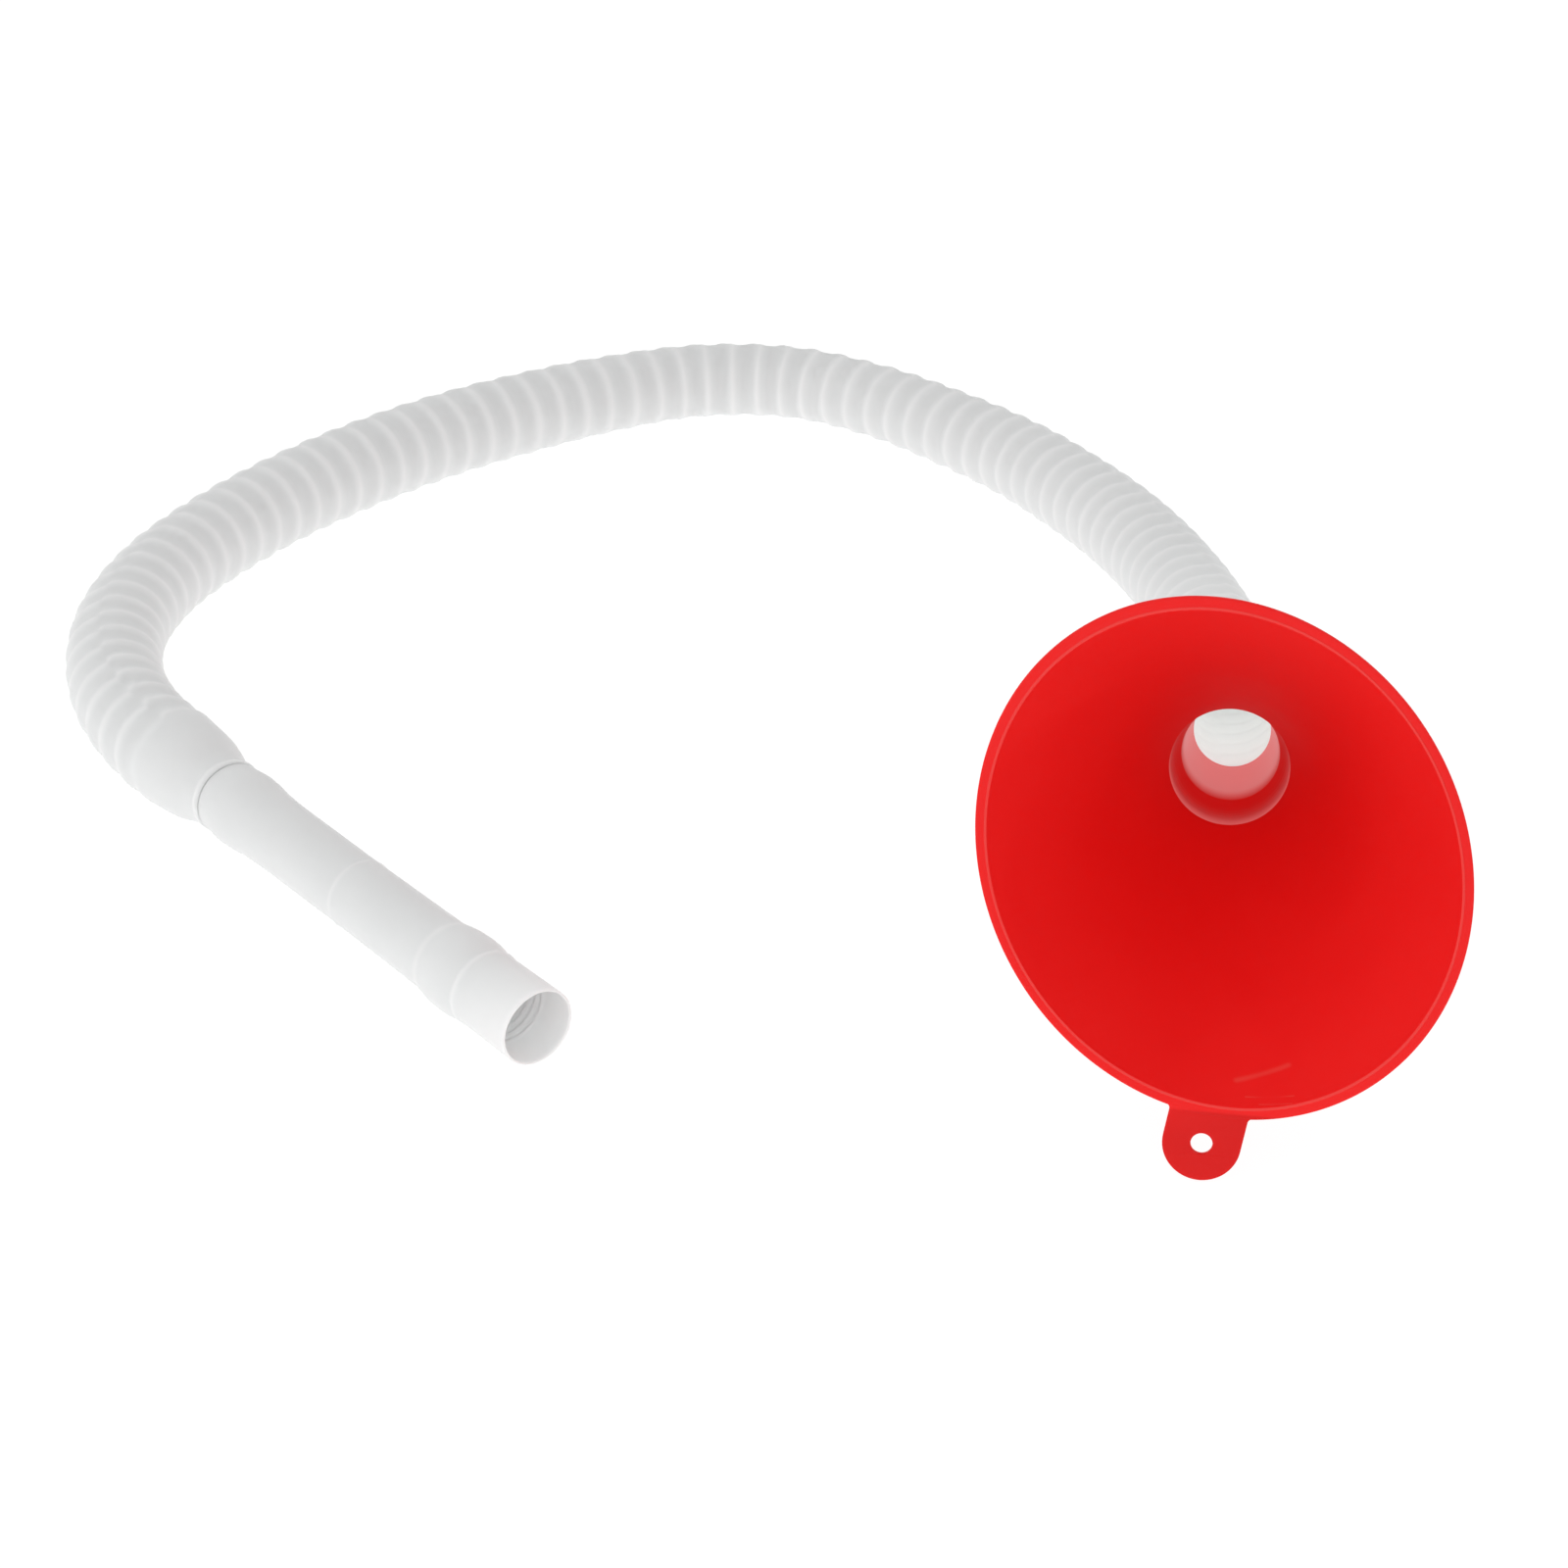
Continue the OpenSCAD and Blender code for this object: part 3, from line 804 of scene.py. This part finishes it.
# %% Measure the distance to the line, and fade with it
away = vector_step("SUBTRACT", place.outputs["Object"], group_in.outputs["From"])
along = group_in.outputs["Along"]
progress = divide(vector_step("DOT_PRODUCT", away, along, "Value"),
                  vector_step("DOT_PRODUCT", along, along, "Value"), clamp=True)
nearest = gn.new("ShaderNodeVectorMath")
nearest.operation = "SCALE"
gl.new(along, nearest.inputs[0])
gl.new(progress, nearest.inputs["Scale"])
gap = vector_step("DISTANCE", away, nearest.outputs["Vector"], "Value")
fade = gn.new("ShaderNodeMapRange")
fade.interpolation_type = "SMOOTHSTEP"
fade.inputs["From Min"].default_value = 1.0
fade.inputs["From Max"].default_value = 0.1
gl.new(divide(gap, group_in.outputs["Half width"]), fade.inputs["Value"])
gl.new(fade.outputs["Result"], group_out.inputs["Mask"])
print("scratch:", len(gn), "nodes")

# %% [markdown]
# The bowl is a dense red plastic. A little subsurface light softens it, mostly in red, because
# red light travels furthest in it. Its gloss is low, so the colour stays deep all over the cone.

# %% Red bowl plastic
PALE_STREAKS = (                           # mm: from, along, half width; then how strong
    ((7.2, -58.6, 21.2), (11.7, 3.9, 2.9), 1.3, .20),
    ((9.5, -63.6, 20.0), (11.1, -.5, 1.8), .35, .22),
    ((12.8, -65.9, 19.7), (7.4, -.4, 1.4), .3, .18))
PALE_STREAK_COLOUR = (0.80, 0.22, 0.18)
red_plastic, nodes, links, shader, tint = moulded_finish(
    "red_bowl_plastic", ((0.80, 0.014, 0.014), (0.84, 0.018, 0.017)), (0.40, 0.48), 18, 1400, 0.00001)
# Painted highlight: a paler red on the lip's bead.
colour = colour_where("crest", nodes, links, shader, tint, (0.78, 0.09, 0.08), 0.5)
# Painted shade: a darker red on the tab.
colour = colour_where("tab", nodes, links, shader, colour, (0.62, 0.010, 0.009), 1.0)
for start, stroke, half_width, strength in PALE_STREAKS:
    line = nodes.new("ShaderNodeGroup")
    line.node_tree = pale_streak
    line.inputs["From"].default_value = [v * MM for v in start]
    line.inputs["Along"].default_value = [v * MM for v in stroke]
    line.inputs["Half width"].default_value = half_width * MM
    colour = tint_by(line.outputs["Mask"], nodes, links, shader, colour, PALE_STREAK_COLOUR, strength)
# Painted glow in the neck and at the throat's corner.
light_through(nodes, links, shader, (0.22, 0.13, 0.13))
shader.inputs["Specular IOR Level"].default_value = 0.2
shader.inputs["IOR"].default_value = 1.4
shader.inputs["Subsurface Weight"].default_value = 0.4
shader.inputs["Subsurface Radius"].default_value = (1, 0.12, 0.1)
shader.inputs["Subsurface Scale"].default_value = 0.006
print("red plastic:", len(nodes), "nodes and", len(PALE_STREAKS), "scratches")

# %% [markdown]
# The hose is a natural, undyed plastic that lets light in and scatters it, so it looks milky. A
# strong subsurface share with the same reach for all colours gives that look without the noise of
# real transmission. Its surface is satin, because a glossier one shows faint patches where its
# gloss changes.

# %% Milky hose plastic
milky_plastic, nodes, links, shader, tint = moulded_finish(
    "milky_hose_plastic", ((0.85, 0.870, 0.867), (0.88, 0.896, 0.893)), (0.42, 0.52), 25, 900, 0.000004)
# Painted highlight: a near white on rib crests, rings and seams.
colour_where("crest", nodes, links, shader, tint, (0.97, 0.975, 0.97), 0.6)
# Painted glow on the inner skin near the bowl.
light_through(nodes, links, shader, (0.16, 0.16, 0.155))
shader.inputs["Subsurface Weight"].default_value = 0.8
shader.inputs["Subsurface Radius"].default_value = (1, 1, 1)
shader.inputs["Subsurface Scale"].default_value = 0.003
shader.inputs["IOR"].default_value = 1.45
print("milky plastic:", len(nodes), "nodes")

# %% Put the finishes on
for piece, finish in ((red_bowl, red_plastic), (corrugated_hose, milky_plastic),
                      (stepped_outlet, milky_plastic), (inlet_cuff, milky_plastic)):
    piece.data.materials.clear()
    piece.data.materials.append(finish)
for name, node_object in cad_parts.items():
    finish = red_plastic if name == "funnel_bowl" else milky_plastic
    for material_slot in node_object.material_slots:
        material_slot.link = "OBJECT"
        material_slot.material = finish
print("finishes are on every piece and on", len(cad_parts), "CAD nodes")

# %% [markdown]
# ## Studio
# A white floor, an even white surround and two wide soft lamps. A white painted floor would turn
# grey in the shade and pink beside the bowl. This one has dark paint and gives most of its light
# itself, so it stays white right up to the hose, and lights the object softly from below.

# %% Floor
floor_mesh = bpy.data.meshes.new("studio_floor")
floor_bm = bmesh.new()
bmesh.ops.create_circle(floor_bm, cap_ends=True, segments=96, radius=6)
floor_bm.to_mesh(floor_mesh)
floor_bm.free()
studio_floor = bpy.data.objects.new("studio_floor", floor_mesh)
studio_floor.location.z = -0.0002
bpy.context.scene.collection.objects.link(studio_floor)
floor_paint, nodes, links, shader, tint = moulded_finish(
    "floor_paint", ((0.12, 0.12, 0.12), (0.13, 0.13, 0.13)), (0.7, 0.8), 2, 300, 0.0001)
shader.inputs["Emission Color"].default_value = (1, 1, 1, 1)
shader.inputs["Emission Strength"].default_value = 0.93
floor_mesh.materials.append(floor_paint)
print("floor:", len(floor_mesh.vertices), "corners")

# %% [markdown]
# The surround is a plain white world. The front lamp lights into the bowl, and the left lamp
# models the cone and the hose. Both are wide, so what shade they make has soft edges.

# %% Surround and lamps
world = bpy.data.worlds.new("studio_surround")
world.use_nodes = True
background = world.node_tree.nodes["Background"]
background.inputs["Color"].default_value = (1, 1, 1, 1)
background.inputs["Strength"].default_value = 0.77
bpy.context.scene.world = world


def soft_lamp(name, place, aim, size, watts):
    """A square lamp of this size in metres that looks from its place to its aim."""
    lamp = bpy.data.lights.new(name, "AREA")
    lamp.shape = "SQUARE"
    lamp.size = size
    lamp.energy = watts
    holder = bpy.data.objects.new(name, lamp)
    holder.location = place
    holder.rotation_euler = (Vector(aim) - Vector(place)).to_track_quat("-Z", "Y").to_euler()
    bpy.context.scene.collection.objects.link(holder)


soft_lamp("front_lamp", (0.15, -1.8, 0.75), (-0.02, 0.0, 0.06), 1.0, 2.5)
soft_lamp("left_lamp", (-1.5, -0.9, 0.9), (0.0, 0.05, 0.05), 1.2, 4.5)
bpy.context.scene.view_settings.view_transform = "Standard"
print("lamps:", len(bpy.data.lights))
